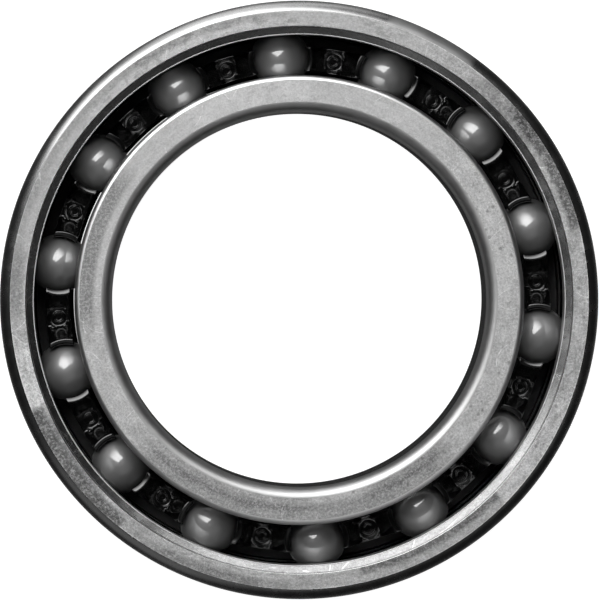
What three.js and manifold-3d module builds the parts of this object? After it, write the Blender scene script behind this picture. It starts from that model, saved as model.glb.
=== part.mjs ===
// Single-row deep-groove ball bearing with ceramic balls, a one-piece moulded crown cage and a
// rubber seal at the back. The front is open. Millimetres, +Z is the bearing axis and points
// out of the open front, origin at the bearing's centre.
import * as THREE from 'three';
import Module from 'manifold-3d';

const wasm = await Module();
wasm.setup();

// ---- Boundary dimensions ----
const BORE_R = 7.5;
const OUTSIDE_R = 12.0;
const HALF_WIDTH = 2.5;
const CORNER_R = 0.4;

// ---- Balls ----
const BALL_COUNT = 14;
const BALL_R = 1.1905;
const PITCH_R = 9.75;
const FIRST_BALL_DEG = -8.6;
const STEP_DEG = 360 / BALL_COUNT;

// ---- Rings ----
const RUNNING_GAP = 0.0395;
const GROOVE_R = 1.238;
const INNER_SHOULDER_R = 9.02;
const INNER_EDGE = 0.18;
const OUTER_SHOULDER_R = 10.64;
const RECESS_MOUTH_R = 10.97;
const RECESS_STEP_R = 10.93;
const RECESS_STEP_DEPTH = 0.16;
const RECESS_FLOOR_R = 10.74;
const RECESS_FLOOR_DEPTH = 0.21;
const SHOULDER_EDGE_DEPTH = 0.27;

// ---- Cage ----
const CAGE_IN_R = 9.2;
const CAGE_OUT_R = 10.19;
const CAGE_BACK_Z = -1.75;
const CAGE_TIP_Z = 0.95;
const CAGE_CHAMFER = 0.08;
const VALLEY_Z = -0.6;
const POCKET_R = 1.26;
const MOUTH_R = 1.08;
const LEAD_IN_R = 1.19;
const LEAD_IN_DEPTH = 0.075;
const CLAW_TIP_R = 1.3;
const CLAW_ROOT_R = 1.72;
const GUSSET_WIDTH = 0.17;
const GUSSET_TOP_Z = 0.3;
const GUSSET_FOOT_R = 1.8;
const SPRUE_R = 0.4;
const SPRUE_HEIGHT = 0.07;
const DIMPLE_R = 0.2;
const DIMPLE_DEPTH = 0.06;
const SPRUE_PITCH_R = 9.68;

// ---- Rear seal: rubber, snapped into the outer ring's back recess, clear of the inner ring ----
const SEAL_LIP_R = 9.09;
const SEAL_RIM_R = 10.9;
const SEAL_INSIDE_Z = -2.05;
const SEAL_OUTSIDE_Z = -2.44;
const PLATE_IN_R = 9.36;
const PLATE_OUT_R = 10.56;
const PLATE_TOP_Z = -2.31;
const PLATE_BOTTOM_Z = -2.43;
const BOND_GAP = 0.02;

// ---- Facets ----
const RING_SEGMENTS = 72;
const CAGE_SEGMENTS = 56;
const GROOVE_STEPS = 6;
const CORNER_STEPS = 3;
const BALL_SEGMENTS = 16;
const BALL_ROWS = 10;
const POCKET_SEGMENTS = 16;
const POCKET_ROWS = 8;

const rad = (deg) => (deg * Math.PI) / 180;
const deg = (radians) => (radians * 180) / Math.PI;

// Points of an arc about (r, z) in a half-plane through the axis, both ends included.
function arc(r, z, radius, fromDeg, toDeg, steps) {
  const points = [];
  for (let i = 0; i <= steps; i += 1) {
    const a = rad(fromDeg + ((toDeg - fromDeg) * i) / steps);
    points.push([r + radius * Math.cos(a), z + radius * Math.sin(a)]);
  }
  return points;
}

// Turns a closed [r, z] profile, anticlockwise with r to the right and z up, about Z.
// A point on the axis becomes one vertex.
function revolve(profile, segments, startDeg = 0) {
  const vertices = [];
  const rings = profile.map(([r, z]) => {
    const ring = [];
    for (let j = 0; j < segments; j += 1) {
      if (r < 1e-9 && j > 0) {
        ring.push(ring[0]);
      } else {
        const a = rad(startDeg + (360 * j) / segments);
        ring.push(vertices.length / 3);
        vertices.push(r * Math.cos(a), r * Math.sin(a), z);
      }
    }
    return ring;
  });
  const triangles = [];
  const addTriangle = (a, b, c) => {
    if (a !== b && b !== c && c !== a) {
      triangles.push(a, b, c);
    }
  };
  rings.forEach((ring, i) => {
    const next = rings[(i + 1) % rings.length];
    for (let j = 0; j < segments; j += 1) {
      const k = (j + 1) % segments;
      addTriangle(ring[j], ring[k], next[k]);
      addTriangle(ring[j], next[k], next[j]);
    }
  });
  return solid(vertices, triangles);
}

// A prism of an anticlockwise [x, z] outline, from y = low to y = high.
function prism(outline, low, high) {
  const vertices = [];
  const triangles = [];
  const n = outline.length;
  outline.forEach(([x, z]) => vertices.push(x, low, z));
  outline.forEach(([x, z]) => vertices.push(x, high, z));
  for (let i = 1; i < n - 1; i += 1) {
    triangles.push(0, i, i + 1);
    triangles.push(n, n + i + 1, n + i);
  }
  for (let i = 0; i < n; i += 1) {
    const k = (i + 1) % n;
    triangles.push(i, n + i, n + k);
    triangles.push(i, n + k, k);
  }
  return solid(vertices, triangles);
}

function solid(vertices, triangles) {
  const mesh = new wasm.Mesh({
    numProp: 3,
    vertProperties: new Float32Array(vertices),
    triVerts: new Uint32Array(triangles),
  });
  return new wasm.Manifold(mesh);
}

function geometryOf(manifold) {
  const mesh = manifold.getMesh();
  const geometry = new THREE.BufferGeometry();
  const position = new THREE.BufferAttribute(new Float32Array(mesh.vertProperties), 3);
  geometry.setAttribute('position', position);
  geometry.setIndex(new THREE.BufferAttribute(new Uint32Array(mesh.triVerts), 1));
  geometry.computeVertexNormals();
  return geometry;
}

// ---- Outer ring: raceway groove inside, a stepped recess beside each face ----
function outerRing() {
  const centre = PITCH_R + BALL_R + RUNNING_GAP - GROOVE_R;
  const edge = deg(Math.acos((OUTER_SHOULDER_R - centre) / GROOVE_R));
  const recess = [
    [RECESS_MOUTH_R, HALF_WIDTH],
    [RECESS_STEP_R, HALF_WIDTH - RECESS_STEP_DEPTH],
    [RECESS_FLOOR_R, HALF_WIDTH - RECESS_FLOOR_DEPTH],
    [OUTER_SHOULDER_R, HALF_WIDTH - SHOULDER_EDGE_DEPTH],
  ];
  const lowerRecess = recess.map(([r, z]) => [r, -z]).reverse();
  const corner = OUTSIDE_R - CORNER_R;
  const cornerZ = HALF_WIDTH - CORNER_R;
  return revolve(
    [
      ...arc(corner, -cornerZ, CORNER_R, -90, 0, CORNER_STEPS),
      ...arc(corner, cornerZ, CORNER_R, 0, 90, CORNER_STEPS),
      ...recess,
      ...arc(centre, 0, GROOVE_R, edge, -edge, GROOVE_STEPS),
      ...lowerRecess,
    ],
    RING_SEGMENTS,
  );
}

// ---- Inner ring: raceway groove outside, rounded bore corners ----
function innerRing() {
  const centre = PITCH_R - BALL_R - RUNNING_GAP + GROOVE_R;
  const edge = deg(Math.acos((centre - INNER_SHOULDER_R) / GROOVE_R));
  const corner = BORE_R + CORNER_R;
  const cornerZ = HALF_WIDTH - CORNER_R;
  return revolve(
    [
      ...arc(corner, cornerZ, CORNER_R, 90, 180, CORNER_STEPS),
      ...arc(corner, -cornerZ, CORNER_R, 180, 270, CORNER_STEPS),
      [INNER_SHOULDER_R - INNER_EDGE, -HALF_WIDTH],
      [INNER_SHOULDER_R, INNER_EDGE - HALF_WIDTH],
      ...arc(centre, 0, GROOVE_R, 180 + edge, 180 - edge, GROOVE_STEPS),
      [INNER_SHOULDER_R, HALF_WIDTH - INNER_EDGE],
      [INNER_SHOULDER_R - INNER_EDGE, HALF_WIDTH],
    ],
    RING_SEGMENTS,
  );
}

// ---- Crown cage: a web under the balls and a pair of claws round each one ----
function aroundPitch(piece, pitchRadius, angle) {
  return piece.translate([pitchRadius, 0, 0]).rotate([0, 0, angle]);
}

function crownCage() {
  const blank = revolve(
    [
      [CAGE_IN_R + CAGE_CHAMFER, CAGE_BACK_Z],
      [CAGE_OUT_R - CAGE_CHAMFER, CAGE_BACK_Z],
      [CAGE_OUT_R, CAGE_BACK_Z + CAGE_CHAMFER],
      [CAGE_OUT_R, CAGE_TIP_Z],
      [CAGE_IN_R, CAGE_TIP_Z],
      [CAGE_IN_R, CAGE_BACK_Z + CAGE_CHAMFER],
    ],
    CAGE_SEGMENTS,
    FIRST_BALL_DEG,
  );
  const slope = (CLAW_ROOT_R - CLAW_TIP_R) / (CAGE_TIP_Z - VALLEY_Z);
  const past = 0.3;
  const clawCone = revolve(
    [
      [0, VALLEY_Z - past],
      [CLAW_ROOT_R + slope * past, VALLEY_Z - past],
      [CLAW_TIP_R - slope * past, CAGE_TIP_Z + past],
      [0, CAGE_TIP_Z + past],
    ],
    POCKET_SEGMENTS,
    180 / POCKET_SEGMENTS,
  );
  const pocketBall = revolve(
    arc(0, 0, POCKET_R, -90, 90, POCKET_ROWS).map(([r, z]) => [r < 1e-9 ? 0 : r, z]),
    POCKET_SEGMENTS,
  );
  const leadIn = (LEAD_IN_R - MOUTH_R) / LEAD_IN_DEPTH;
  const mouth = revolve(
    [
      [0, 0],
      [MOUTH_R, 0],
      [MOUTH_R, CAGE_TIP_Z - LEAD_IN_DEPTH],
      [LEAD_IN_R + leadIn * past, CAGE_TIP_Z + past],
      [0, CAGE_TIP_Z + past],
    ],
    POCKET_SEGMENTS,
    180 / POCKET_SEGMENTS,
  );
  const pocket = pocketBall.add(mouth);
  const gussetOutline = [
    [CLAW_TIP_R - 0.1, VALLEY_Z - 0.1],
    [GUSSET_FOOT_R, VALLEY_Z - 0.1],
    [GUSSET_FOOT_R, VALLEY_Z + 0.1],
    [CLAW_TIP_R - 0.1, GUSSET_TOP_Z + 0.25],
  ];
  const halfBand = (CAGE_OUT_R - CAGE_IN_R) / 2;
  const innerGusset = prism(gussetOutline, -halfBand - 0.2, GUSSET_WIDTH - halfBand);
  const outerGusset = prism(gussetOutline, halfBand - GUSSET_WIDTH, halfBand + 0.2);
  const gussetPair = innerGusset.add(outerGusset);
  const sprue = revolve(
    [
      [0, VALLEY_Z - 0.1],
      [SPRUE_R, VALLEY_Z - 0.1],
      [SPRUE_R, VALLEY_Z + SPRUE_HEIGHT],
      [DIMPLE_R, VALLEY_Z + SPRUE_HEIGHT],
      [DIMPLE_R, VALLEY_Z + SPRUE_HEIGHT - DIMPLE_DEPTH],
      [0, VALLEY_Z + SPRUE_HEIGHT - DIMPLE_DEPTH],
    ],
    10,
  );
  const middleR = (CAGE_IN_R + CAGE_OUT_R) / 2;
  let kept = revolve(
    [
      [CAGE_IN_R - past, CAGE_BACK_Z - past],
      [CAGE_OUT_R + past, CAGE_BACK_Z - past],
      [CAGE_OUT_R + past, VALLEY_Z],
      [CAGE_IN_R - past, VALLEY_Z],
    ],
    CAGE_SEGMENTS,
    FIRST_BALL_DEG,
  );
  let cut = aroundPitch(pocket, PITCH_R, FIRST_BALL_DEG);
  for (let i = 0; i < BALL_COUNT; i += 1) {
    const angle = FIRST_BALL_DEG + i * STEP_DEG;
    kept = kept.add(aroundPitch(clawCone, PITCH_R, angle));
    kept = kept.add(aroundPitch(sprue, SPRUE_PITCH_R, angle + STEP_DEG / 2));
    kept = kept.add(aroundPitch(gussetPair.rotate([0, 0, 90]), middleR, angle));
    kept = kept.add(aroundPitch(gussetPair.rotate([0, 0, -90]), middleR, angle));
    cut = cut.add(aroundPitch(pocket, PITCH_R, angle));
  }
  return blank.intersect(kept).subtract(cut);
}

// ---- Rear seal: a rubber disc with a steel plate let into its outer side ----
function rearSeal() {
  const channelTop = PLATE_TOP_Z + BOND_GAP;
  return revolve(
    [
      [SEAL_LIP_R, SEAL_OUTSIDE_Z + 0.08],
      [SEAL_LIP_R + 0.1, SEAL_OUTSIDE_Z],
      [PLATE_IN_R - BOND_GAP, SEAL_OUTSIDE_Z],
      [PLATE_IN_R - BOND_GAP, channelTop],
      [PLATE_OUT_R + BOND_GAP, channelTop],
      [PLATE_OUT_R + BOND_GAP, SEAL_OUTSIDE_Z],
      [SEAL_RIM_R, SEAL_OUTSIDE_Z],
      [SEAL_RIM_R, -2.372],
      [10.735, -2.325],
      [10.6, -2.285],
      [10.56, SEAL_INSIDE_Z],
      [SEAL_LIP_R + 0.12, SEAL_INSIDE_Z],
      [SEAL_LIP_R, SEAL_INSIDE_Z - 0.09],
    ],
    RING_SEGMENTS,
  );
}

function sealPlate() {
  return revolve(
    [
      [PLATE_IN_R, PLATE_BOTTOM_Z],
      [PLATE_OUT_R, PLATE_BOTTOM_Z],
      [PLATE_OUT_R, PLATE_TOP_Z],
      [PLATE_IN_R, PLATE_TOP_Z],
    ],
    RING_SEGMENTS,
  );
}

// ---- Ball ----
function ball() {
  const profile = arc(0, 0, BALL_R, -90, 90, BALL_ROWS);
  return revolve(profile.map(([r, z]) => [r < 1e-9 ? 0 : r, z]), BALL_SEGMENTS);
}

// ---- Materials ----
function steel() {
  return new THREE.MeshStandardMaterial({ color: 0xb9bbbd, metalness: 1, roughness: 0.35 });
}

function polymer() {
  return new THREE.MeshStandardMaterial({ color: 0x0b0b0d, metalness: 0, roughness: 0.3 });
}

function rubber() {
  return new THREE.MeshStandardMaterial({ color: 0x101012, metalness: 0, roughness: 0.6 });
}

function ceramic() {
  return new THREE.MeshStandardMaterial({ color: 0x3a3b3d, metalness: 0, roughness: 0.12 });
}

// ---- Assembly ----
const bearing = new THREE.Group();
bearing.name = 'ball_bearing';

function addPiece(name, manifold, material) {
  const mesh = new THREE.Mesh(geometryOf(manifold), material);
  mesh.name = name;
  bearing.add(mesh);
}

addPiece('outer_ring', outerRing(), steel());
addPiece('inner_ring', innerRing(), steel());
addPiece('cage', crownCage(), polymer());
addPiece('rear_seal', rearSeal(), rubber());
addPiece('rear_seal_plate', sealPlate(), steel());
for (let i = 0; i < BALL_COUNT; i += 1) {
  const name = `ball_${String(i + 1).padStart(2, '0')}`;
  addPiece(name, aroundPitch(ball(), PITCH_R, FIRST_BALL_DEG + i * STEP_DEG), ceramic());
}

export default bearing;
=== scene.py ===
import math

import bmesh
import bpy
import numpy as np
from mathutils import Matrix, Vector


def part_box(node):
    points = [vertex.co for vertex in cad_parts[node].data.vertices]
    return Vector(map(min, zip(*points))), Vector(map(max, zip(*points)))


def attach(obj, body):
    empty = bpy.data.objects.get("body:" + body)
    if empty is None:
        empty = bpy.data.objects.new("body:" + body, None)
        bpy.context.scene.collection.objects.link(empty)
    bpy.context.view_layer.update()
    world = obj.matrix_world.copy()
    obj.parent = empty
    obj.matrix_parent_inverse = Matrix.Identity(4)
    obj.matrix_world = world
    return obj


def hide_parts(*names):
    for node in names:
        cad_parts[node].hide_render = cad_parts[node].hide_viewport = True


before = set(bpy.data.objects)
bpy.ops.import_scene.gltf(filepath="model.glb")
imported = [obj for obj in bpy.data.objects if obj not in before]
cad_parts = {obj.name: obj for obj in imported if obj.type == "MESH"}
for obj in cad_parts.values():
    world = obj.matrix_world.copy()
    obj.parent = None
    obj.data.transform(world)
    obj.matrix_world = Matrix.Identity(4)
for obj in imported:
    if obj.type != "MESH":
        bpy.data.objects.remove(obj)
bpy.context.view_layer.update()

MM = 0.001

# ---------------------------------------------------------------- dimensions, mm
outer_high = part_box("outer_ring")[1]
inner_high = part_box("inner_ring")[1]
cage_low, cage_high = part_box("cage")

OUTSIDE_R = outer_high.x / MM
HALF_WIDTH = outer_high.z / MM
BORE_R = 7.5
PITCH_R = 9.75
BALL_R = 1.1905
BALL_COUNT = 14
FIRST_BALL = math.radians(-8.6)  # where ball_01 is, from +X towards +Y
SECTOR = 2 * math.pi / BALL_COUNT
GAP = 0.0395  # between a ball and either raceway
GROOVE_R = 1.238
SEGMENTS = 288  # round each ring

# outer ring, from the raceway outwards, with depths below the front face
OUTER_SHOULDER_R = 10.64
OUTER_SHOULDER_FOOT_Z = 0.855
LAND_OUT_R = 10.682
LAND_DEPTH = 0.2245
LAND_ROUND = 0.018
RECESS_IN_R = 10.688
RECESS_IN_DEPTH = 0.220
RECESS_OUT_R = 10.930
RECESS_OUT_DEPTH = 0.155
STEP_IN_R = 10.942
STEP_ROUND = 0.03
FACE_IN_R = 10.986
FACE_OUT_R = 11.595
OUTER_CORNER_R = 11.261  # the middle of the corner's arc
OUTER_CORNER_DEPTH = 0.9182
OUTER_CORNER_ROUND = 0.977
OUTER_RIM_ROUND = 0.093
OUTER_RIM_DEPTH = 0.315

# inner ring
INNER_FRONT_Z = inner_high.z / MM
INNER_SHOULDER_R = 9.02
INNER_SHOULDER_FOOT_Z = 0.995
INNER_EDGE_ROUND = 0.20
BORE_CORNER_ROUND = 0.45

# rear seal and its plate
SEAL_LIP_R = 9.055
SEAL_RIM_R = 10.90
SEAL_FRONT_Z = -2.05
SEAL_BACK_Z = -2.44
PLATE_IN_R = 9.36
PLATE_OUT_R = 10.56
PLATE_FRONT_Z = -2.31
PLATE_BACK_Z = -2.43
PLATE_GAP = 0.02

# cage, with radii round the ball's centre for the pocket, the mouth, the lead-in and the claws
CAGE_IN_R = 9.2
CAGE_OUT_R = 10.19
CAGE_BACK_Z = cage_low.z / MM
CAGE_TIP_Z = cage_high.z / MM
CAGE_BACK_ROUND = 0.16
CAGE_RIM_ROUND = 0.05
CAGE_TIP_ROUND = 0.06
POCKET_R = 1.25
POCKET_EDGE_ROUND = 0.025
MOUTH_R = 1.08
LEAD_IN_R = 1.10
LEAD_IN_SLOPE = 1.5
CLAW_BACK_R = 1.30
CLAW_LEAN = 0.311
VALLEY_Z = -0.6
VALLEY_ROUND = 0.07
GUSSET_WIDTH = 0.17
GUSSET_TOP_SIDE = 1.24
GUSSET_TOP_Z = 0.48
GUSSET_SLOPE = (1.05, 0.62)  # sideways and up, square to the slope
GUSSET_ROUND = 0.04
GUSSET_FOOT_ROUND = 0.05
EJECTOR_PITCH_R = 9.68
EJECTOR_RIDGES = ((0.20, 0.06, 0.035), (0.40, 0.03, 0.03))  # radius, height, half width
RIDGE_ROUND = 0.05
RIDGE_FOOT_ROUND = 0.02


# ---------------------------------------------------------------- node helpers
class Nodes:
    """A material's node tree, with short calls for the nodes used here."""

    def __init__(self, name):
        self.material = bpy.data.materials.new(name)
        self.material.use_nodes = True
        self.tree = self.material.node_tree
        self.tree.nodes.clear()
        output = self.tree.nodes.new("ShaderNodeOutputMaterial")
        self.shader = self.tree.nodes.new("ShaderNodeBsdfPrincipled")
        self.tree.links.new(self.shader.outputs[0], output.inputs[0])
        self.place = self.tree.nodes.new("ShaderNodeTexCoord").outputs["Object"]

    def link(self, value, socket):
        """Joins an output to a socket, or sets the socket where value is a number or a colour."""
        if isinstance(value, (int, float)):
            socket.default_value = value
        elif isinstance(value, (tuple, list)):
            needs_alpha = len(value) == 3 and socket.type == "RGBA"
            socket.default_value = (*value, 1.0) if needs_alpha else value
        else:
            self.tree.links.new(value, socket)

    def math(self, operation, a, b=0.0, c=0.0):
        """The outcome of one operation on a, b and c, each a number or an output."""
        node = self.tree.nodes.new("ShaderNodeMath")
        node.operation = operation
        for value, socket in zip((a, b, c), node.inputs):
            self.link(value, socket)
        return node.outputs[0]

    def vary(self, base, noise, amount):
        """base plus amount times how far the noise is from its middle."""
        return self.math("MULTIPLY_ADD", self.math("SUBTRACT", noise, 0.5), amount, base)

    def split(self, vector):
        """The x, y and z of a vector."""
        node = self.tree.nodes.new("ShaderNodeSeparateXYZ")
        self.link(vector, node.inputs[0])
        return node.outputs

    def ramp(self, value, low, high, to_low=0.0, to_high=1.0):
        """A smooth step from to_low, at value low, to to_high, at value high."""
        node = self.tree.nodes.new("ShaderNodeMapRange")
        node.interpolation_type = "SMOOTHSTEP"
        self.link(value, node.inputs["Value"])
        node.inputs["From Min"].default_value = low
        node.inputs["From Max"].default_value = high
        node.inputs["To Min"].default_value = to_low
        node.inputs["To Max"].default_value = to_high
        return node.outputs[0]

    def scaled(self, vector, size_mm, at):
        """The vector counted in steps of size_mm, and moved by at."""
        node = self.tree.nodes.new("ShaderNodeMapping")
        node.inputs["Location"].default_value = at
        for axis in range(3):
            node.inputs["Scale"].default_value[axis] = 1.0 / (size_mm * MM)
        self.link(vector, node.inputs["Vector"])
        return node.outputs[0]

    def noise(self, vector, size_mm, detail=3.0, rough=0.55, distort=0.0, at=(0, 0, 0)):
        """Cloudy noise between 0 and 1, with blotches of about size_mm."""
        node = self.tree.nodes.new("ShaderNodeTexNoise")
        node.inputs["Scale"].default_value = 1.0
        node.inputs["Detail"].default_value = detail
        node.inputs["Roughness"].default_value = rough
        node.inputs["Distortion"].default_value = distort
        self.link(self.scaled(vector, size_mm, at), node.inputs["Vector"])
        return node.outputs["Fac"]

    def specks(self, vector, spacing_mm, at=(0, 0, 0)):
        """Distance to the nearest of scattered points, 0 at a point."""
        node = self.tree.nodes.new("ShaderNodeTexVoronoi")
        node.inputs["Scale"].default_value = 1.0
        self.link(self.scaled(vector, spacing_mm, at), node.inputs["Vector"])
        return node.outputs["Distance"]

    def round_axis(self, along):
        """Coordinates that follow the ring, with the way round it shortened by along: streaks run round."""
        x, y, z = self.split(self.place)
        flat = self.tree.nodes.new("ShaderNodeCombineXYZ")
        self.link(x, flat.inputs[0])
        self.link(y, flat.inputs[1])
        unit = self.tree.nodes.new("ShaderNodeVectorMath")
        unit.operation = "NORMALIZE"
        self.link(flat.outputs[0], unit.inputs[0])
        way_round = self.tree.nodes.new("ShaderNodeVectorMath")
        way_round.operation = "SCALE"
        self.link(unit.outputs[0], way_round.inputs[0])
        way_round.inputs["Scale"].default_value = 10.0 * MM * along
        radius = self.tree.nodes.new("ShaderNodeVectorMath")
        radius.operation = "LENGTH"
        self.link(flat.outputs[0], radius.inputs[0])
        over_profile = self.tree.nodes.new("ShaderNodeCombineXYZ")
        self.link(self.math("SUBTRACT", radius.outputs["Value"], z), over_profile.inputs[2])
        both = self.tree.nodes.new("ShaderNodeVectorMath")
        both.operation = "ADD"
        self.link(way_round.outputs[0], both.inputs[0])
        self.link(over_profile.outputs[0], both.inputs[1])
        return both.outputs[0]

    def sector(self, centre, half, soft, wobble=0.0):
        """1 inside a sector about the ring's axis, 0 outside, with edges made ragged by wobble.
        In degrees from +X towards +Y."""
        x, y, _ = self.split(self.place)
        angle = self.math("ARCTAN2", y, x)
        turn = self.math("WRAP", self.math("SUBTRACT", angle, math.radians(centre)), math.pi, -math.pi)
        off = self.math("ABSOLUTE", turn)
        if wobble:
            ragged = self.noise(self.place, 0.9, detail=4.0, rough=0.65, at=(centre, half, 0.0))
            shift = self.math("MULTIPLY", self.math("SUBTRACT", ragged, 0.5), math.radians(wobble))
            off = self.math("ADD", off, shift)
        return self.ramp(off, math.radians(half - soft), math.radians(half + soft), 1.0, 0.0)

    def radius(self):
        """Distance from the bearing's axis."""
        x, y, _ = self.split(self.place)
        return self.math("SQRT", self.math("MULTIPLY_ADD", x, x, self.math("MULTIPLY", y, y)))

    def grey(self, value):
        """A colour whose red, green and blue are all value."""
        node = self.tree.nodes.new("ShaderNodeCombineColor")
        for socket in node.inputs:
            self.link(value, socket)
        return node.outputs[0]

    def bump(self, height, distance_mm):
        """Fine relief: distance_mm high where height is 1."""
        node = self.tree.nodes.new("ShaderNodeBump")
        node.inputs["Strength"].default_value = 1.0
        node.inputs["Distance"].default_value = distance_mm * MM
        self.link(height, node.inputs["Height"])
        self.link(node.outputs[0], self.shader.inputs["Normal"])

    def set(self, **values):
        """Sets the shader's inputs, each to a number, a colour or an output."""
        names = {
            "color": "Base Color",
            "metallic": "Metallic",
            "roughness": "Roughness",
            "ior": "IOR",
            "coat": "Coat Weight",
            "coat_roughness": "Coat Roughness",
        }
        for key, value in values.items():
            self.link(value, self.shader.inputs[names[key]])


def ground_steel(name, level, contrast, roughness, seed, light_and_stain_patches=(), pits=(), stain=0.0, painted_highlight_r=0.0,
                 calm=(), relief=0.005):
    """A ground flat face: fine grain, clouds, stains and hairline scratches.
    level is its tone, contrast how far the tone varies, and stain how much its stains darken it.
    A patch multiplies the tone over a sector and a band of radius, and paints light and shade: one that
    lightens is a painted highlight, one that darkens is painted shade, on the faces partly also a stain. It
    is (centre, half width, soft edge, factor, inner radius, outer radius). Beyond a given radius the tone
    is raised by half, a painted highlight along the edge. A pitted sector is (centre, half width), and a
    calm one, where the grain is half as strong, is (centre, half width, soft edge). In degrees and mm.
    relief is the depth of the grain in mm."""
    n = Nodes(name)
    at = (seed * 3.7, seed * 1.3, seed * 2.1)
    grain = n.noise(n.place, 0.09, detail=3.0, rough=0.75, at=at)
    fine = n.noise(n.place, 0.045, detail=2.0, rough=0.6, at=at)
    cloud = n.noise(n.place, 0.8, detail=4.0, rough=0.6, at=at)
    drawn = n.noise(n.round_axis(along=0.22), 0.14, detail=3.0, rough=0.6, at=at)
    tone = n.vary(level, grain, 1.1 * contrast)
    tone = n.vary(tone, fine, 0.7 * contrast)
    tone = n.vary(tone, cloud, 0.5 * contrast)
    tone = n.vary(tone, drawn, 0.5 * contrast)
    for centre, half, soft in calm:
        quiet = n.math("MULTIPLY_ADD", n.sector(centre, half, soft), -0.5, 1.0)
        tone = n.math("MULTIPLY_ADD", n.math("SUBTRACT", tone, level), quiet, level)
    if stain:
        streaks = n.round_axis(along=0.6)
        spread = n.noise(streaks, 0.30, detail=6.0, rough=0.8, distort=0.4, at=(at[2], at[0], at[1]))
        where = n.ramp(n.noise(n.place, 5.0, detail=1.0, at=at), 0.42, 0.62, 0.25, 1.0)
        mark = n.math("MULTIPLY", n.ramp(spread, 0.40, 0.50, 1.0, 0.0), where)
        tone = n.math("MULTIPLY", tone, n.math("MULTIPLY_ADD", mark, -stain, 1.0))
    for start, width in ((seed * 5.3, 0.0045), (seed * 6.1, 0.003)):
        wave = n.noise(n.place, 2.6, detail=0.0, at=(start, 0, 0))
        bend = n.math("ABSOLUTE", n.math("SUBTRACT", wave, 0.5))
        broken = n.ramp(n.noise(n.place, 0.9, detail=2.0, at=(0, start, 0)), 0.50, 0.58)
        hair = n.math("MULTIPLY", n.ramp(bend, width * 0.5, width, 1.0, 0.0), broken)
        tone = n.math("MULTIPLY_ADD", hair, 0.22, tone)
    radius = n.radius()
    speckle = n.noise(n.place, 0.10, detail=3.0, rough=0.8, at=(at[1], at[2], at[0]))
    ragged = n.ramp(speckle, 0.40, 0.54, 0.45, 1.25)
    # Beyond the given radius the tone is raised by half: a painted highlight along the face's outer edge.
    if painted_highlight_r:
        tone = n.math("MULTIPLY", tone, n.ramp(radius, painted_highlight_r * MM, (painted_highlight_r + 0.02) * MM, 1.0, 1.5))
    blur = 0.12  # mm
    # Painted light and shade by sector: a factor above 1 paints a highlight, one below 1 paints shade, on
    # the faces partly also a stain.
    for centre, half, soft, factor, low, high in light_and_stain_patches:
        inside = n.sector(centre, half, soft, wobble=3.0 if soft > 1.0 else 0.0)
        past_low = n.ramp(radius, (low - blur) * MM, (low + blur) * MM)
        short_of_high = n.ramp(radius, (high - blur) * MM, (high + blur) * MM, 1.0, 0.0)
        inside = n.math("MULTIPLY", n.math("MULTIPLY", inside, past_low), short_of_high)
        if factor < 1.0:
            inside = n.math("MULTIPLY", inside, ragged)
        tone = n.math("MULTIPLY", tone, n.math("MULTIPLY_ADD", inside, factor - 1.0, 1.0))
    for centre, half in pits:
        pit = n.ramp(n.specks(n.place, 0.34, at=at), 0.12, 0.30, 0.62, 1.0)
        spare = n.ramp(n.noise(n.place, 0.8, detail=3.0, at=at), 0.44, 0.54, 1.0, 0.0)
        clear = n.math("MAXIMUM", spare, n.math("SUBTRACT", 1.0, n.sector(centre, half, 8.0)))
        tone = n.math("MULTIPLY", tone, n.math("MAXIMUM", pit, clear))
    n.set(color=n.grey(n.math("MAXIMUM", tone, 0.02)), metallic=1.0)
    rough = n.vary(roughness, cloud, 0.2)
    n.set(roughness=rough)
    n.bump(n.math("MULTIPLY_ADD", drawn, 0.6, grain), relief)
    return n.material


def turned_steel(name, level, roughness, seed, haze=()):
    """A turned and polished corner: smooth, with faint lathe lines round it.
    A haze is (centre, half width, soft edge, extra roughness), in degrees."""
    n = Nodes(name)
    at = (seed * 2.9, seed * 1.9, seed * 0.7)
    lines = n.noise(n.round_axis(along=0.05), 0.035, detail=2.0, rough=0.6, at=at)
    blot = n.noise(n.place, 0.7, detail=3.0, rough=0.6, at=at)
    tone = n.vary(level, blot, 0.16)
    tone = n.vary(tone, lines, 0.12)
    n.set(color=n.grey(tone), metallic=1.0)
    rough = n.vary(roughness, blot, 0.12)
    for centre, half, soft, amount in haze:
        rough = n.math("MULTIPLY_ADD", n.sector(centre, half, soft, wobble=2.0), amount, rough)
    n.set(roughness=rough)
    n.bump(lines, 0.0012)
    return n.material


def lapped_steel(name, level, roughness, seed):
    """A raceway: lapped bright, with hair-fine lines along the rolling direction."""
    n = Nodes(name)
    at = (seed * 1.1, seed * 2.3, seed * 0.9)
    lines = n.noise(n.round_axis(along=0.03), 0.02, detail=2.0, rough=0.6, at=at)
    haze = n.noise(n.place, 1.3, detail=2.0, at=at)
    tone = n.vary(level, lines, 0.10)
    n.set(color=n.grey(tone), metallic=1.0)
    n.set(roughness=n.vary(roughness, haze, 0.08))
    n.bump(lines, 0.0005)
    return n.material


def black_polymer():
    """Moulded glass-filled polyamide: near black, glossy, with a faint fibre texture."""
    n = Nodes("cage_polymer")
    fibre = n.noise(n.place, 0.05, detail=4.0, rough=0.7)
    flow = n.noise(n.place, 0.5, detail=2.0, distort=1.5)
    n.set(color=n.grey(n.ramp(fibre, 0.35, 0.75, 0.002, 0.006)))
    n.set(roughness=n.math("MULTIPLY_ADD", flow, 0.12, 0.08), ior=1.6)
    n.shader.inputs["Specular IOR Level"].default_value = 0.7
    n.bump(fibre, 0.0001)
    return n.material


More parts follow.
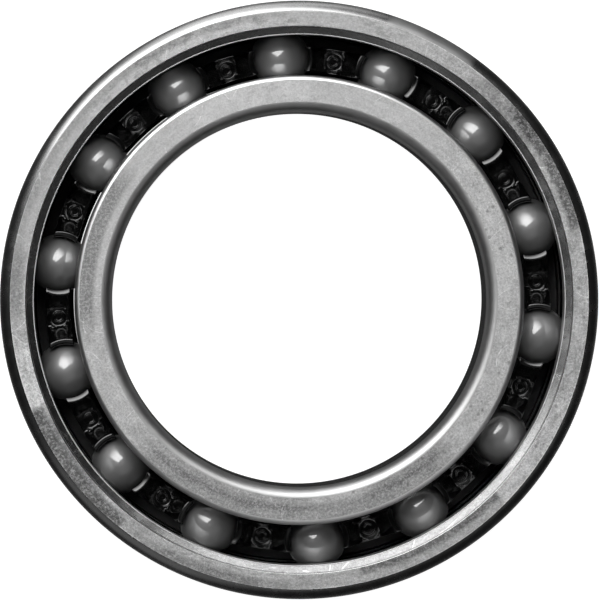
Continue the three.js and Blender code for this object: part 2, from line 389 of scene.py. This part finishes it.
def silicon_nitride():
    """Lapped dark grey ceramic: very smooth, with a faint mottle of its grain."""
    n = Nodes("ball_ceramic")
    mottle = n.noise(n.place, 0.25, detail=4.0, rough=0.65)
    pores = n.ramp(n.specks(n.place, 0.3), 0.03, 0.09, 0.75, 1.0)
    tone = n.vary(0.085, mottle, 0.04)
    n.set(color=n.grey(n.math("MULTIPLY", tone, pores)))
    n.set(roughness=n.math("MULTIPLY_ADD", mottle, 0.06, 0.50), ior=2.9)
    n.set(coat=1.0, coat_roughness=0.01)
    n.shader.inputs["Coat IOR"].default_value = 1.9
    n.bump(mottle, 0.0004)
    return n.material


def seal_rubber():
    """Moulded nitrile rubber: black, satin, with a fine orange-peel skin."""
    n = Nodes("seal_rubber")
    skin = n.noise(n.place, 0.06, detail=4.0, rough=0.65)
    dust = n.ramp(n.noise(n.place, 0.8, detail=5.0, rough=0.7), 0.45, 0.8, 0.0, 1.0)
    n.set(color=n.grey(n.math("MULTIPLY_ADD", dust, 0.004, 0.004)))
    n.set(roughness=n.math("MULTIPLY_ADD", dust, 0.2, 0.45), ior=1.5)
    n.bump(skin, 0.004)
    return n.material


# ---------------------------------------------------------------- mesh helpers
def arc(r, z, radius, start, end, steps):
    """Points from angle start to end, degrees, both included."""
    angles = np.radians(np.linspace(start, end, steps + 1))
    return [(r + radius * math.cos(a), z + radius * math.sin(a)) for a in angles]


def straight(a, b, edge=0.012, steps=2):
    """A straight stretch from a to b with close points at its ends, which keep it flat when shaded."""
    length = math.dist(a, b)
    inset = min(edge / length, 0.3)
    ts = [0.0, inset, *np.linspace(inset, 1 - inset, steps + 1)[1:], 1.0]
    return [(a[0] + (b[0] - a[0]) * t, a[1] + (b[1] - a[1]) * t) for t in ts]


def revolve(name, outline, sharp_angle):
    """Turns a closed outline of (r, z) points, in mm, about Z, and turns its faces outwards.
    The stretch that starts at point i becomes SEGMENTS faces, and they follow those of point i - 1."""
    angles = np.arange(SEGMENTS) * 2 * math.pi / SEGMENTS
    rz = np.array(outline)
    x = rz[:, :1] * np.cos(angles)
    y = rz[:, :1] * np.sin(angles)
    z = np.repeat(rz[:, 1:], SEGMENTS, axis=1)
    vertices = np.stack([x, y, z], axis=-1).reshape(-1, 3) * MM
    faces = []
    for i in range(len(outline)):
        k = (i + 1) % len(outline)
        for j in range(SEGMENTS):
            m = (j + 1) % SEGMENTS
            faces.append((i * SEGMENTS + j, i * SEGMENTS + m, k * SEGMENTS + m, k * SEGMENTS + j))
    mesh = bpy.data.meshes.new(name)
    mesh.from_pydata(vertices.tolist(), [], faces)
    work = bmesh.new()
    work.from_mesh(mesh)
    if work.calc_volume(signed=True) < 0:
        bmesh.ops.reverse_faces(work, faces=work.faces)
    work.to_mesh(mesh)
    work.free()
    mesh.shade_smooth()
    mesh.set_sharp_from_angle(angle=math.radians(sharp_angle))
    obj = bpy.data.objects.new(name, mesh)
    bpy.context.scene.collection.objects.link(obj)
    return obj


def ring_object(name, half, materials):
    """A bearing ring. half lists (zone, points) for z >= 0, from the raceway's middle to the middle of
    the other side, and is mirrored for z < 0. materials gives each zone's material."""
    path, zones = [], []
    for zone, points in half:
        for point in points:
            if path and math.dist(point, path[-1]) < 1e-6:
                continue
            path.append(point)
            zones.append(zone)
    lower = [(r, -z) for r, z in reversed(path[1:-1])]
    # zones[i] belongs to the stretch that ends at path[i]
    spans = zones[1:] + list(reversed(zones[1:]))
    obj = revolve(name, path + lower, sharp_angle=24)
    slots = list(materials)
    for zone in slots:
        obj.data.materials.append(materials[zone])
    index = np.repeat([slots.index(zone) for zone in spans], SEGMENTS)
    obj.data.polygons.foreach_set("material_index", index.astype(np.int32))
    return obj


def closed_ring(name, points, material):
    """A ring of one material. points is its whole outline, of straight stretches, in mm."""
    path = []
    for a, b in zip(points, points[1:] + points[:1]):
        path += straight(a, b)[:-1]
    obj = revolve(name, path, sharp_angle=40)
    obj.data.materials.append(material)
    return obj


# ---------------------------------------------------------------- crown cage
def soft_max(a, b, k):
    """The larger of a and b, rounded over a width k where they cross."""
    h = np.maximum(k - np.abs(a - b), 0.0) / k
    return np.maximum(a, b) + h * h * k / 4


def soft_min(a, b, k):
    """The smaller of a and b, rounded over a width k where they cross."""
    return -soft_max(-a, -b, k)


def cage_distance(x, y, z):
    """Rough distance, in mm, from the surface of the cage round one ball, negative inside.
    x is radial and y tangential, from the bearing axis, with the ball at (PITCH_R, 0, 0)."""
    r = np.hypot(x, y)
    side = np.abs(y)
    from_ball = np.hypot(x - PITCH_R, y)
    # the claws, which widen downwards, and the valley between two balls
    back = (from_ball - (CLAW_BACK_R + CLAW_LEAN * (CAGE_TIP_Z - z))) / math.hypot(1, CLAW_LEAN)
    body = soft_min(back, z - VALLEY_Z, VALLEY_ROUND)
    # gussets behind the claws, along both rims
    across, up = GUSSET_SLOPE
    slope = ((side - GUSSET_TOP_SIDE) * across + (z - GUSSET_TOP_Z) * up) / math.hypot(across, up)
    rim = np.minimum((CAGE_OUT_R - GUSSET_WIDTH) - r, r - (CAGE_IN_R + GUSSET_WIDTH))
    body = soft_min(body, soft_max(rim, slope, GUSSET_ROUND), GUSSET_FOOT_ROUND)
    # round ejector mark in the middle of each valley
    half = SECTOR / 2
    mark = np.hypot(x - EJECTOR_PITCH_R * math.cos(half), side - EJECTOR_PITCH_R * math.sin(half))
    for ring_r, ring_z, ring_half in EJECTOR_RIDGES:
        ridge = soft_max(np.abs(mark - ring_r) - ring_half, z - (VALLEY_Z + ring_z), RIDGE_ROUND)
        body = soft_min(body, ridge, RIDGE_FOOT_ROUND)
    # ball pocket, its mouth and the lead-in round the claw tips
    ball = np.sqrt(from_ball**2 + z**2) - POCKET_R
    lead = (from_ball - (LEAD_IN_R + LEAD_IN_SLOPE * (z - (CAGE_TIP_Z - CAGE_TIP_ROUND)))) * 0.5
    mouth = np.maximum(np.minimum(from_ball - MOUTH_R, lead), -z)
    body = soft_max(body, -np.minimum(ball, mouth), POCKET_EDGE_ROUND)
    body = soft_max(body, np.maximum(r - CAGE_OUT_R, CAGE_IN_R - r), CAGE_RIM_ROUND)
    body = soft_max(body, z - CAGE_TIP_Z, CAGE_TIP_ROUND)
    return soft_max(body, CAGE_BACK_Z - z, CAGE_BACK_ROUND)


def axis_slices(axis):
    """Slices that pair each grid node with the next one along an axis."""
    low = [slice(None)] * 3
    high = [slice(None)] * 3
    low[axis], high[axis] = slice(0, -1), slice(1, None)
    return low, high


def cage_points(distance, radii, angles, heights):
    """One vertex for each cell that the surface crosses, at the mean of the crossings on its edges.
    Returns the number of each cell's vertex, -1 where there is none, and the vertices in mm."""
    shape = tuple(n - 1 for n in distance.shape)
    total = np.zeros((*shape, 3))
    hits = np.zeros(shape)
    for axis in range(3):
        others = [a for a in range(3) if a != axis]
        for corner in ((0, 0), (0, 1), (1, 0), (1, 1)):
            low, high = axis_slices(axis)
            for a, offset in zip(others, corner):
                low[a] = high[a] = slice(offset, offset + shape[a])
            start, end = distance[tuple(low)], distance[tuple(high)]
            crossed = (start < 0) != (end < 0)
            place = [None] * 3
            place[axis] = np.where(crossed, start / np.where(crossed, start - end, 1.0), 0.0)
            for a, offset in zip(others, corner):
                place[a] = np.full(shape, float(offset))
            for n in range(3):
                total[..., n] += np.where(crossed, place[n], 0.0)
            hits += crossed
    active = hits > 0
    number = np.full(shape, -1)
    number[active] = np.arange(active.sum())
    cell = np.array(np.nonzero(active)).T + total[active] / hits[active][:, None]
    radius = radii[0] + cell[:, 0] * (radii[1] - radii[0])
    angle = angles[0] + cell[:, 1] * (angles[1] - angles[0])
    height = heights[0] + cell[:, 2] * (heights[1] - heights[0])
    return number, np.stack([radius * np.cos(angle), radius * np.sin(angle), height], axis=1)


def settle(points, step):
    """Moves each vertex on to the surface itself, in three steps of at most half a cell."""
    probe = 1e-4
    for _ in range(3):
        value = cage_distance(*points.T)
        gradient = np.stack(
            [
                (cage_distance(*(points + move).T) - cage_distance(*(points - move).T)) / (2 * probe)
                for move in probe * np.eye(3)
            ],
            axis=1,
        )
        size = np.maximum((gradient**2).sum(1), 0.25)
        shift = -(value / size)[:, None] * gradient
        length = np.linalg.norm(shift, axis=1)[:, None]
        points = points + shift * np.minimum(1.0, 0.5 * step / np.maximum(length, 1e-12))
    return points


def cage_faces(inside, number, turns):
    """Four-sided faces between the vertices of neighbouring cells, wherever a grid edge crosses the
    surface. Returns each corner's vertex, and whether it lies in the sector before."""
    index, before = [], []
    for axis in range(3):
        low, high = axis_slices(axis)
        crossed = inside[tuple(low)] != inside[tuple(high)]
        if axis != 1:
            crossed[:, -1] = False  # the last plane of nodes is the next sector's first
        nodes = np.array(np.nonzero(crossed)).T
        outward = inside[tuple(low)][crossed]
        corner_index, corner_before = [], []
        for moves in ((-1, -1), (0, -1), (0, 0), (-1, 0)):
            cell = nodes.copy()
            cell[:, (axis + 1) % 3] += moves[0]
            cell[:, (axis + 2) % 3] += moves[1]
            corner_before.append(cell[:, 1] < 0)
            cell[:, 1] %= turns
            corner_index.append(number[tuple(cell.T)])
        for corners, kept in ((corner_index, index), (corner_before, before)):
            face = np.stack(corners, axis=1)
            face[~outward] = face[~outward][:, ::-1]
            kept.append(face)
    return np.concatenate(index), np.concatenate(before)


def cage_object(step):
    """The zero surface of cage_distance, meshed over one sector and repeated round the ring."""
    turns = int(round(SECTOR * PITCH_R / step))  # cells along the sector
    radii = np.arange(CAGE_IN_R - 2 * step, CAGE_OUT_R + 2.5 * step, step)
    angles = (np.arange(turns + 1) / turns - 0.5) * SECTOR
    heights = np.arange(CAGE_BACK_Z - 2 * step, CAGE_TIP_Z + 2.5 * step, step)
    grid_r, grid_t, grid_z = np.meshgrid(radii, angles, heights, indexing="ij")
    distance = cage_distance(grid_r * np.cos(grid_t), grid_r * np.sin(grid_t), grid_z)
    distance[:, -1] = distance[:, 0]
    number, sector_points = cage_points(distance, radii, angles, heights)
    sector_points = settle(sector_points, step)
    index, before = cage_faces(distance < 0, number, turns)
    points, faces = [], []
    for i in range(BALL_COUNT):
        turn = FIRST_BALL + i * SECTOR
        cosine, sine = math.cos(turn), math.sin(turn)
        points.append(sector_points @ np.array([[cosine, sine, 0], [-sine, cosine, 0], [0, 0, 1]]))
        sector = np.where(before, (i - 1) % BALL_COUNT, i)
        faces.append(index + sector * len(sector_points))
    mesh = bpy.data.meshes.new("crown_cage")
    mesh.from_pydata((np.concatenate(points) * MM).tolist(), [], np.concatenate(faces).tolist())
    mesh.validate()
    mesh.shade_smooth()
    obj = bpy.data.objects.new("crown_cage", mesh)
    bpy.context.scene.collection.objects.link(obj)
    return obj


# ---------------------------------------------------------------- camera
camera_data = bpy.data.cameras.new("camera")
camera_data.sensor_width = 36.0
camera_data.lens = 485.6
camera_data.clip_start = 0.01
camera_data.clip_end = 5.0
camera = bpy.data.objects.new("camera", camera_data)
bpy.context.scene.collection.objects.link(camera)
camera.location = (-7.9 * MM, 4.1 * MM, 326.5 * MM)
aim = Vector((0.007 * MM, 0.0, 2.1 * MM))
away = (camera.location - aim).normalized()
right = Vector((0, 1, 0)).cross(away).normalized()
camera.rotation_euler = Matrix((right, away.cross(right), away)).transposed().to_euler()
bpy.context.scene.camera = camera
bpy.context.scene.view_settings.view_transform = "Standard"

# ---------------------------------------------------------------- light
# The world is dark above the table, and below the horizon it glows like the light that a table throws
# back at the part's sides. The ramp runs from straight down, at 0, past the horizon, at 0.5.
world = bpy.data.worlds.new("studio")
bpy.context.scene.world = world
world.use_nodes = True
world_nodes = world.node_tree.nodes
world_links = world.node_tree.links
backdrop = world_nodes["Background"]
backdrop.inputs["Color"].default_value = (1.0, 1.0, 1.0, 1.0)
view_direction = world_nodes.new("ShaderNodeTexCoord")
upward = world_nodes.new("ShaderNodeSeparateXYZ")
world_links.new(view_direction.outputs["Generated"], upward.inputs[0])
height = world_nodes.new("ShaderNodeMath")
height.operation = "MULTIPLY_ADD"
height.inputs[1].default_value = 0.5
height.inputs[2].default_value = 0.5
world_links.new(upward.outputs[2], height.inputs[0])
glow = world_nodes.new("ShaderNodeValToRGB")
world_links.new(height.outputs[0], glow.inputs[0])
world_links.new(glow.outputs[0], backdrop.inputs["Strength"])
glow.color_ramp.elements[0].position = 0.02
glow.color_ramp.elements[0].color = (0.02, 0.02, 0.02, 1.0)
glow.color_ramp.elements[1].position = 0.47
glow.color_ramp.elements[1].color = (0.008, 0.008, 0.008, 1.0)
for position, level in ((0.08, 0.09), (0.24, 0.13), (0.40, 0.26)):
    stop = glow.color_ramp.elements.new(position)
    stop.color = (level, level, level, 1.0)


def softbox(name, azimuth, elevation, distance, width, height, radiance, fade, roll=0.0):
    """A rectangular soft light that faces the bearing. Azimuth is from +X towards +Y, in degrees, and
    distance, width and height are in metres. fade is how far in, as a share of its size, the light
    dims from its left, right, lower and upper edge. roll turns it about its own axis, in degrees."""
    data = bpy.data.lights.new(name, "AREA")
    data.shape = "RECTANGLE"
    data.size = width
    data.size_y = height
    data.energy = radiance * math.pi * width * height
    data.use_nodes = True
    tree = data.node_tree
    tree.nodes.clear()
    output = tree.nodes.new("ShaderNodeOutputLight")
    emission = tree.nodes.new("ShaderNodeEmission")
    tree.links.new(emission.outputs[0], output.inputs[0])
    place = tree.nodes.new("ShaderNodeNewGeometry")
    split = tree.nodes.new("ShaderNodeSeparateXYZ")
    tree.links.new(place.outputs["Parametric"], split.inputs[0])
    strength = None
    edges = ((0, 0.0, fade[0]), (0, 1.0, -fade[1]), (1, 0.0, fade[2]), (1, 1.0, -fade[3]))
    for axis, start, inward in edges:
        edge = tree.nodes.new("ShaderNodeMapRange")
        edge.interpolation_type = "SMOOTHSTEP"
        tree.links.new(split.outputs[axis], edge.inputs["Value"])
        edge.inputs["From Min"].default_value = start
        edge.inputs["From Max"].default_value = start + inward
        if strength is None:
            strength = edge.outputs[0]
        else:
            product = tree.nodes.new("ShaderNodeMath")
            product.operation = "MULTIPLY"
            tree.links.new(strength, product.inputs[0])
            tree.links.new(edge.outputs[0], product.inputs[1])
            strength = product.outputs[0]
    tree.links.new(strength, emission.inputs["Strength"])
    light = bpy.data.objects.new(name, data)
    bpy.context.scene.collection.objects.link(light)
    round_z, up = math.radians(azimuth), math.radians(elevation)
    outward = Vector((math.cos(round_z) * math.cos(up), math.sin(round_z) * math.cos(up), math.sin(up)))
    light.location = outward * distance
    turn = outward.to_track_quat("Z", "Y").to_matrix() @ Matrix.Rotation(math.radians(roll), 3, "Z")
    light.rotation_euler = turn.to_euler()
    light.visible_camera = False


softbox(
    "key", azimuth=110.0, elevation=43.0, distance=0.5, width=0.60, height=0.62, radiance=5.0,
    fade=(0.55, 0.15, 0.68, 0.04), roll=27.0,
)
softbox(
    "back", azimuth=98.0, elevation=13.0, distance=0.5, width=0.66, height=0.20, radiance=1.0,
    fade=(0.35, 0.35, 0.25, 0.35),
)
softbox(
    "side", azimuth=-124.0, elevation=30.0, distance=0.5, width=0.36, height=0.26, radiance=0.15,
    fade=(0.08, 0.08, 0.08, 0.08), roll=-14.0,
)
softbox(
    "low_fill", azimuth=-64.0, elevation=60.0, distance=0.5, width=0.64, height=0.28, radiance=0.22,
    fade=(0.1, 0.1, 0.1, 0.1),
)

# ---------------------------------------------------------------- floor
# White, just under the bearing, and see-through from below. It lights nothing and is not reflected.
FLOOR_GAP = 0.01
bpy.ops.mesh.primitive_plane_add(size=2.0, location=(0, 0, (-HALF_WIDTH - FLOOR_GAP) * MM))
floor = bpy.context.active_object
floor.name = "floor"
floor_nodes = Nodes("floor_paper")
floor_nodes.set(color=(0.3, 0.3, 0.3), roughness=0.9)
floor_nodes.shader.inputs["Emission Color"].default_value = (1.0, 1.0, 1.0, 1.0)
floor_nodes.shader.inputs["Emission Strength"].default_value = 1.0
seen_from_below = floor_nodes.tree.nodes.new("ShaderNodeNewGeometry").outputs["Backfacing"]
floor_nodes.link(floor_nodes.math("SUBTRACT", 1.0, seen_from_below), floor_nodes.shader.inputs["Alpha"])
floor.data.materials.append(floor_nodes.material)
floor.visible_glossy = False
floor.visible_diffuse = False

# ---------------------------------------------------------------- outer ring
groove_middle = PITCH_R + BALL_R + GAP - GROOVE_R
groove_edge = math.degrees(math.acos((OUTER_SHOULDER_R - groove_middle) / GROOVE_R))
LAND_IN_R = OUTER_SHOULDER_R + LAND_ROUND
LAND_Z = HALF_WIDTH - LAND_DEPTH
LAND_FOOT_Z = LAND_Z - LAND_ROUND
STEP_FOOT_Z = HALF_WIDTH - RECESS_OUT_DEPTH
STEP_TOP_R = FACE_IN_R - STEP_ROUND
RIM_Z = HALF_WIDTH - OUTER_RIM_DEPTH
outer_profile = [
    ("race", arc(groove_middle, 0, GROOVE_R, 0, groove_edge, 16)),
    ("plain", straight((OUTER_SHOULDER_R, OUTER_SHOULDER_FOOT_Z), (OUTER_SHOULDER_R, LAND_FOOT_Z))),
    ("land", arc(LAND_IN_R, LAND_FOOT_Z, LAND_ROUND, 180, 94, 5)),
    ("land", straight((LAND_IN_R, LAND_Z), (LAND_OUT_R, LAND_Z), edge=0.004)),
    ("recess", straight((RECESS_IN_R, HALF_WIDTH - RECESS_IN_DEPTH), (RECESS_OUT_R, STEP_FOOT_Z))),
    ("step", [(10.934, STEP_FOOT_Z - 0.005), (STEP_IN_R, STEP_FOOT_Z)]),
    ("step", straight((STEP_IN_R, STEP_FOOT_Z), (STEP_TOP_R, HALF_WIDTH - STEP_ROUND), edge=0.004)),
    ("turned", arc(FACE_IN_R, HALF_WIDTH - STEP_ROUND, STEP_ROUND, 180, 90, 4)),
    ("face", straight((FACE_IN_R, HALF_WIDTH), (FACE_OUT_R, HALF_WIDTH), steps=4)),
    ("turned", arc(OUTER_CORNER_R, HALF_WIDTH - OUTER_CORNER_DEPTH, OUTER_CORNER_ROUND, 70, 43, 16)),
    ("turned", arc(OUTSIDE_R - OUTER_RIM_ROUND, RIM_Z, OUTER_RIM_ROUND, 43, 0, 8)),
    ("od", straight((OUTSIDE_R, RIM_Z), (OUTSIDE_R, 0.0), steps=2)),
]
outer_materials = {
    "race": lapped_steel("outer_raceway", level=0.55, roughness=0.07, seed=1),
    "plain": turned_steel("outer_shoulder", level=0.6, roughness=0.45, seed=2),
    "turned": turned_steel(
        "outer_corner", level=0.52, roughness=0.26, seed=3,
        haze=[(-297.0, 9.0, 1.0, 0.17)],
    ),
    "recess": ground_steel(
        "outer_recess", level=0.19, contrast=0.20, roughness=0.26, seed=4,
        stain=0.05, relief=0.0003,
        # Painted light and shade: these factors brighten and darken the band round the ring to the
        # brightness it shows as it catches the lights.
        light_and_stain_patches=[
            (-6.0, 34.0, 8.0, 1.45, 10.5, 11.1),
            (46.0, 28.0, 10.0, 2.5, 10.5, 11.1),
            (8.0, 20.0, 8.0, 1.5, 10.5, 11.1),
            (-118.0, 14.0, 8.0, 1.85, 10.5, 11.1),
            (-225.0, 34.0, 10.0, 0.65, 10.5, 11.1),
        ],
    ),
    "face": ground_steel(
        "outer_face", level=0.60, contrast=0.85, roughness=0.54, seed=5,
        # Beyond 11.565 mm the tone is raised as a painted highlight along the outer edge.
        stain=0.3, painted_highlight_r=11.565, calm=[(-240.0, 55.0, 15.0)],
        # Lighter sectors here are painted highlights, darker ones painted shade and partly stains.
        light_and_stain_patches=[
            (-225.0, 34.0, 14.0, 0.78, 11.3, 11.7),
            (-61.0, 16.5, 0.5, 0.50, 10.9, 11.28),
            (-31.0, 13.6, 0.4, 1.16, 10.9, 11.7),
            (-108.0, 14.0, 5.0, 0.62, 11.25, 11.7),
            (-143.0, 14.5, 0.8, 0.42, 11.15, 11.7),
            (-146.0, 9.0, 3.0, 0.62, 10.9, 11.2),
            (-164.0, 6.0, 0.5, 1.30, 10.9, 11.7),
            (-183.0, 7.0, 2.0, 0.70, 11.1, 11.7),
            (-246.0, 20.0, 6.0, 1.12, 10.9, 11.3),
            (-332.0, 14.0, 1.6, 0.45, 11.2, 11.7),
            (-318.0, 9.0, 3.0, 0.66, 10.9, 11.7),
        ],
        pits=[(5.0, 35.0)],
    ),
    "land": turned_steel("outer_shoulder_land", level=0.85, roughness=0.5, seed=14),
    "step": turned_steel("outer_recess_step", level=0.6, roughness=0.35, seed=15),
    "od": turned_steel("outer_cylinder", level=0.66, roughness=0.18, seed=6),
}
outer = ring_object("outer_ring_steel", outer_profile, outer_materials)
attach(outer, "outer_ring")
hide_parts("outer_ring")

# ---------------------------------------------------------------- inner ring
groove_middle = PITCH_R - BALL_R - GAP + GROOVE_R
groove_edge = math.degrees(math.acos((groove_middle - INNER_SHOULDER_R) / GROOVE_R))
EDGE_R = INNER_SHOULDER_R - INNER_EDGE_ROUND
EDGE_Z = INNER_FRONT_Z - INNER_EDGE_ROUND
CORNER_R = BORE_R + BORE_CORNER_ROUND
CORNER_Z = INNER_FRONT_Z - BORE_CORNER_ROUND
inner_profile = [
    ("race", arc(groove_middle, 0, GROOVE_R, 180, 180 - groove_edge, 16)),
    ("plain", straight((INNER_SHOULDER_R, INNER_SHOULDER_FOOT_Z), (INNER_SHOULDER_R, EDGE_Z))),
    ("turned", arc(EDGE_R, EDGE_Z, INNER_EDGE_ROUND, 0.01, 89.99, 14)),
    ("face", straight((EDGE_R, INNER_FRONT_Z), (CORNER_R, INNER_FRONT_Z), steps=4)),
    ("corner", arc(CORNER_R, CORNER_Z, BORE_CORNER_ROUND, 90, 180, 22)),
    ("bore", straight((BORE_R, CORNER_Z), (BORE_R, 0.0), steps=2)),
]
inner_materials = {
    "race": lapped_steel("inner_raceway", level=0.55, roughness=0.07, seed=7),
    "plain": turned_steel("inner_shoulder", level=0.75, roughness=0.2, seed=8),
    "turned": turned_steel(
        "inner_edge", level=0.78, roughness=0.34, seed=9,
        haze=[(-66.0, 36.0, 18.0, 0.45)],
    ),
    "corner": turned_steel("inner_corner", level=0.54, roughness=0.42, seed=13),
    "face": ground_steel(
        "inner_face", level=0.66, contrast=0.75, roughness=0.54, seed=10,
        stain=0.12, calm=[(-245.0, 65.0, 20.0)],
        # Lighter sectors here are painted highlights, darker ones painted shade and partly stains.
        light_and_stain_patches=[
            (-92.0, 46.0, 6.0, 0.68, 8.2, 8.9),
            (-58.0, 12.0, 4.0, 0.68, 7.8, 8.4),
            (-112.0, 24.0, 6.0, 0.78, 7.8, 8.5),
            (-194.0, 22.0, 6.0, 0.60, 8.25, 8.9),
            (-256.0, 18.0, 6.0, 1.10, 7.8, 8.9),
        ],
        pits=[(0.0, 32.0), (-64.0, 18.0)],
    ),
    "bore": turned_steel("inner_bore", level=0.50, roughness=0.22, seed=11),
}
inner = ring_object("inner_ring_steel", inner_profile, inner_materials)
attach(inner, "inner_ring")
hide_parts("inner_ring")

# ---------------------------------------------------------------- rear seal
SEAT_IN_R = PLATE_IN_R - PLATE_GAP
SEAT_OUT_R = PLATE_OUT_R + PLATE_GAP
SEAT_Z = PLATE_FRONT_Z + PLATE_GAP
rubber = closed_ring(
    "nitrile_rear_seal",
    [
        # the lip, the seat of the plate, the bead in the outer ring's groove, and the front
        (SEAL_LIP_R, -2.36), (9.19, SEAL_BACK_Z),
        (SEAT_IN_R, SEAL_BACK_Z), (SEAT_IN_R, SEAT_Z), (SEAT_OUT_R, SEAT_Z), (SEAT_OUT_R, SEAL_BACK_Z),
        (SEAL_RIM_R, SEAL_BACK_Z), (SEAL_RIM_R, -2.372), (10.735, -2.325), (10.60, -2.285),
        (10.56, SEAL_FRONT_Z), (9.21, SEAL_FRONT_Z), (SEAL_LIP_R, -2.14),
    ],
    seal_rubber(),
)
plate = closed_ring(
    "steel_seal_plate",
    [
        (PLATE_IN_R, PLATE_BACK_Z), (PLATE_OUT_R, PLATE_BACK_Z),
        (PLATE_OUT_R, PLATE_FRONT_Z), (PLATE_IN_R, PLATE_FRONT_Z),
    ],
    turned_steel("seal_steel", level=0.5, roughness=0.3, seed=12),
)
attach(rubber, "outer_ring")
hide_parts("rear_seal")
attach(plate, "outer_ring")
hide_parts("rear_seal_plate")

# ---------------------------------------------------------------- cage
cage = cage_object(step=0.03)
cage.data.materials.append(black_polymer())
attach(cage, "cage")
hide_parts("cage")

# ---------------------------------------------------------------- balls
ceramic = silicon_nitride()
for i in range(BALL_COUNT):
    node = f"ball_{i + 1:02d}"
    low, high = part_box(node)
    turn = FIRST_BALL + i * SECTOR
    mesh = bpy.data.meshes.new(f"ceramic_{node}")
    work = bmesh.new()
    bmesh.ops.create_icosphere(work, subdivisions=5, radius=BALL_R * MM)
    work.to_mesh(mesh)
    work.free()
    mesh.shade_smooth()
    mesh.materials.append(ceramic)
    ball = bpy.data.objects.new(f"ceramic_{node}", mesh)
    bpy.context.scene.collection.objects.link(ball)
    ball.location = (PITCH_R * MM * math.cos(turn), PITCH_R * MM * math.sin(turn), (low.z + high.z) / 2)
    ball.rotation_euler = (0.7 * i, 1.1 * i, 1.9 * i)  # so that no two balls show the same mottle
    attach(ball, node)
    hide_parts(node)
